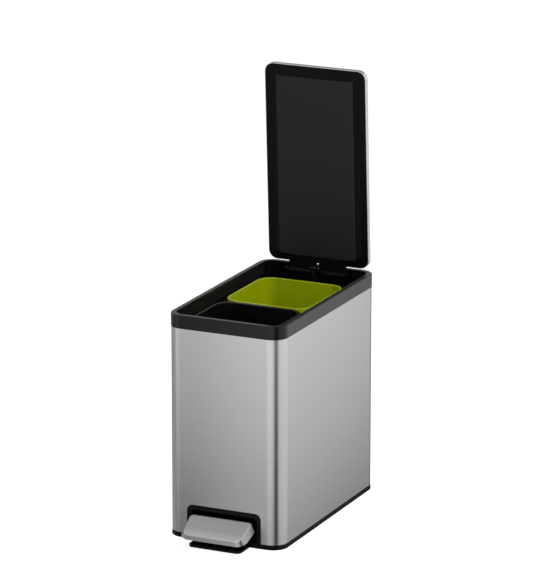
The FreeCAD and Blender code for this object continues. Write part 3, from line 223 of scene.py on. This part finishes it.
steel_wrap = brushed("steel_wrap", "z", "Z", 0.25)
steel_lid = brushed("steel_lid", "x", "Z", 0.0)
# The pedal's steel gets a darker base colour (0.50 against 0.60) than the other steel: painted shade.
steel_pedal_painted_shade = brushed("steel_pedal_painted_shade", "y", (1.0, 0.0, 0.0), 0.25, base=(0.50, 0.50, 0.50))
collar_black = moulded("collar_black", (0.001, 0.001, 0.001), 0.14, spec=0.30, sheen=0.25)
base_black = moulded("base_black", (0.002, 0.002, 0.002), 0.42, spec=0.15)
# The liner's raised panel gets a lighter base colour (0.012 against 0.0012): painted light.
liner_black = moulded("liner_black", (0.0012, 0.0012, 0.0012), 0.42, spec=0.08,
                      painted_light_panel=(0.012, 0.0765, 0.431, 0.7705))
bucket_black = moulded("bucket_black", (0.001, 0.001, 0.001), 0.30, spec=0.40)
bucket_green = moulded("bucket_green", (0.213, 0.262, 0.0), 0.26, vary=0.03, spec=0.45)
acetal = moulded("acetal", (0.55, 0.55, 0.52), 0.45, vary=0.05)
damper_grey = moulded("damper_grey", (0.10, 0.10, 0.105), 0.30)
rubber = moulded("rubber", (0.015, 0.015, 0.015), 0.75, grain=700, strength=0.2)
zinc = plated("zinc")
dark_plate = plated("dark_plate", (0.012, 0.012, 0.0125), 0.42)

LOOK = {
    "body_shell": steel_wrap, "lid_skin": steel_lid, "pedal_plate": steel_pedal_painted_shade,
    "top_collar": collar_black, "base_tray": base_black, "bucket_deck": base_black,
    "pedal_surround": base_black, "rod_channel_cover": base_black, "rear_shelf": base_black,
    "rod_guides": acetal,
    "damper_cylinder": damper_grey, "hinge_bracket": dark_plate, "hinge_pin": dark_plate,
    "hinge_pin_clip": dark_plate, "hinge_bracket_screws": dark_plate, "fulcrum_bracket": zinc,
    "pedal_axle": zinc, "axle_clips": zinc, "fulcrum_screws": zinc, "base_screws": zinc,
    "rubber_feet": rubber, "pedal_buffer": rubber, "lid_bumpers": rubber,
    "lid_liner": liner_black, "hinge_block": liner_black, "crank_pin": zinc,
    "pedal_arm": base_black, "pedal_lever": zinc, "lever_pin": zinc, "arm_rivets": zinc,
    "push_rod": dark_plate, "rod_head": base_black, "rod_foot": acetal, "rod_clamp": base_black,
    "damper_rod": zinc, "front_bucket": bucket_black, "rear_bucket": bucket_green,
}
for name, material in LOOK.items():
    ob = nodes[name]
    if not ob.material_slots:
        ob.data.materials.append(material)
    for s in ob.material_slots:
        s.material = material

# ---------------------------------------------------------------------------
# Floor, light
# ---------------------------------------------------------------------------


def plane(name, sx, sy, z):
    me = bpy.data.meshes.new(name)
    bm = bmesh.new()
    n = 4
    bmesh.ops.create_grid(bm, x_segments=n, y_segments=n, size=0.5)
    bmesh.ops.transform(bm, matrix=Matrix.Diagonal((sx, sy, 1, 1)), verts=bm.verts)
    bm.to_mesh(me)
    bm.free()
    ob = bpy.data.objects.new(name, me)
    scene.collection.objects.link(ob)
    ob.location = (0, 0, z)
    return ob


floor = plane("floor", 30.0, 30.0, -0.0002)
fm, fnt, fb = new_material("floor_white")
fb.inputs["Base Color"].default_value = (0.35, 0.35, 0.35, 1)
fb.inputs["Roughness"].default_value = 0.9
fb.inputs["Specular IOR Level"].default_value = 0.0
fb.inputs["Emission Color"].default_value = (1, 1, 1, 1)
fb.inputs["Emission Strength"].default_value = 0.86
floor.data.materials.append(fm)
floor.visible_glossy = False

world = bpy.data.worlds.new("studio")
scene.world = world
world.use_nodes = True
wnt = world.node_tree
for n in list(wnt.nodes):
    wnt.nodes.remove(n)
wout = wnt.nodes.new("ShaderNodeOutputWorld")
wbg = wnt.nodes.new("ShaderNodeBackground")
wtc = wnt.nodes.new("ShaderNodeTexCoord")
wsep = wnt.nodes.new("ShaderNodeSeparateXYZ")
wnt.links.new(wtc.outputs["Generated"], wsep.inputs["Vector"])


def grey_ramp(nt, value, lo, hi, stops):
    """A number that follows value by straight runs between stops (at, number)."""
    return ramp(nt, spread(nt, value, 0.0, 1.0, lo, hi),
                [((p - lo) / (hi - lo), (v, v, v)) for p, v in stops])


# Compass direction in degrees: 0 is the front, 90 the right, -90 the left.
turn = math_node(wnt, "ARCTAN2", wsep.outputs["X"], math_node(wnt, "MULTIPLY", wsep.outputs["Y"], -1.0))
degrees = math_node(wnt, "MULTIPLY", turn, 180.0 / math.pi)
around = grey_ramp(wnt, degrees, -180.0, 180.0, [
    (-180.0, 0.42), (-130.0, 0.42), (-112.0, 0.62), (-70.0, 0.66), (-30.0, 0.75), (24.0, 0.80),
    (34.0, 0.16), (60.0, 0.16), (72.0, 0.80), (140.0, 0.75), (160.0, 0.45), (180.0, 0.42)])
height = grey_ramp(wnt, wsep.outputs["Z"], -1.0, 1.0, [
    (-1.0, 0.35), (-0.35, 0.55), (0.0, 0.80), (0.35, 1.0), (1.0, 1.0)])
strength = math_node(wnt, "MULTIPLY", around, height)
wbg.inputs["Color"].default_value = (1, 1, 1, 1)
wnt.links.new(strength, wbg.inputs["Strength"])
wnt.links.new(wbg.outputs["Background"], wout.inputs["Surface"])


def card(name, centre, size_x, size_y, rotation, across, upward):
    """A glowing wall that only shows in reflections. across and upward are its
    brightness along its own X and Y, in metres, and are added."""
    ob = plane(name, size_x, size_y, 0.0)
    ob.location = centre
    ob.rotation_euler = rotation
    m = bpy.data.materials.new(name)
    m.use_nodes = True
    nt = m.node_tree
    for n in list(nt.nodes):
        nt.nodes.remove(n)
    out = nt.nodes.new("ShaderNodeOutputMaterial")
    em = nt.nodes.new("ShaderNodeEmission")
    tc = nt.nodes.new("ShaderNodeTexCoord")
    sep = nt.nodes.new("ShaderNodeSeparateXYZ")
    nt.links.new(tc.outputs["Object"], sep.inputs["Vector"])
    a = grey_ramp(nt, sep.outputs["X"], across[0][0], across[-1][0], across)
    b = grey_ramp(nt, sep.outputs["Y"], upward[0][0], upward[-1][0], upward)
    total = math_node(nt, "MAXIMUM", math_node(nt, "SUBTRACT", math_node(nt, "ADD", a, b), 1.0), 0.0)
    nt.links.new(total, em.inputs["Strength"])
    nt.links.new(em.outputs["Emission"], out.inputs["Surface"])
    ob.data.materials.append(m)
    ob.visible_camera = False
    ob.visible_diffuse = False
    ob.visible_transmission = False
    ob.visible_volume_scatter = False
    ob.visible_shadow = False
    return ob


# The front wall stands 0.54 m before the body. Own X runs right, own Y up.
card("front_card", (-0.60, -0.75, 0.0), 4.06, 2.80, (math.radians(90), 0, 0),
     [(-2.03, 0.80), (-1.00, 0.95), (-0.30, 1.05), (0.00, 0.88), (0.15, 0.74), (0.25, 0.66),
      (0.27, 0.66), (0.296, 0.73), (0.326, 0.84), (0.356, 0.90), (0.386, 0.94), (0.43, 0.97),
      (0.60, 1.12), (0.76, 1.12), (0.90, 1.0), (1.02, 0.90), (1.08, 0.26), (2.03, 0.26)],
     [(-1.40, 0.0), (-0.50, 0.02), (-0.30, 0.17), (-0.092, 0.59), (-0.054, 0.67), (0.003, 0.80),
      (0.117, 0.905), (0.212, 0.98), (0.45, 1.12), (1.40, 1.30)])
# The side wall stands 0.34 m to the right and runs back. Own X runs back.
card("side_card", (0.45, 0.60, 0.0), 2.0, 3.20, (math.radians(90), 0, math.radians(90)),
     [(-1.00, 0.90), (-0.75, 0.97), (-0.40, 1.06), (-0.06, 1.0), (0.10, 1.0), (0.20, 0.97),
      (0.30, 0.91), (1.00, 0.66)],
     [(-1.60, 0.0), (-0.60, 0.02), (-0.35, 0.20), (-0.18, 0.52), (-0.144, 0.62), (-0.07, 0.75),
      (0.045, 0.81), (0.16, 0.83), (0.22, 0.95), (0.45, 1.08), (1.60, 1.2)])


def area(name, location, target, size_x, size_y, energy, colour=(1, 1, 1)):
    data = bpy.data.lights.new(name, "AREA")
    data.shape = "RECTANGLE"
    data.size = size_x
    data.size_y = size_y
    data.energy = energy
    data.color = colour
    ob = bpy.data.objects.new(name, data)
    scene.collection.objects.link(ob)
    ob.location = location
    d = Vector(target) - Vector(location)
    ob.rotation_euler = d.to_track_quat("-Z", "Y").to_euler()
    return ob


# Upper right, for the moulded parts only: the steel mirrors the walls.
key = area("top_light", (1.3, -0.5, 1.9), (0, 0.05, 0.4), 0.9, 0.9, 46)
key.visible_glossy = False
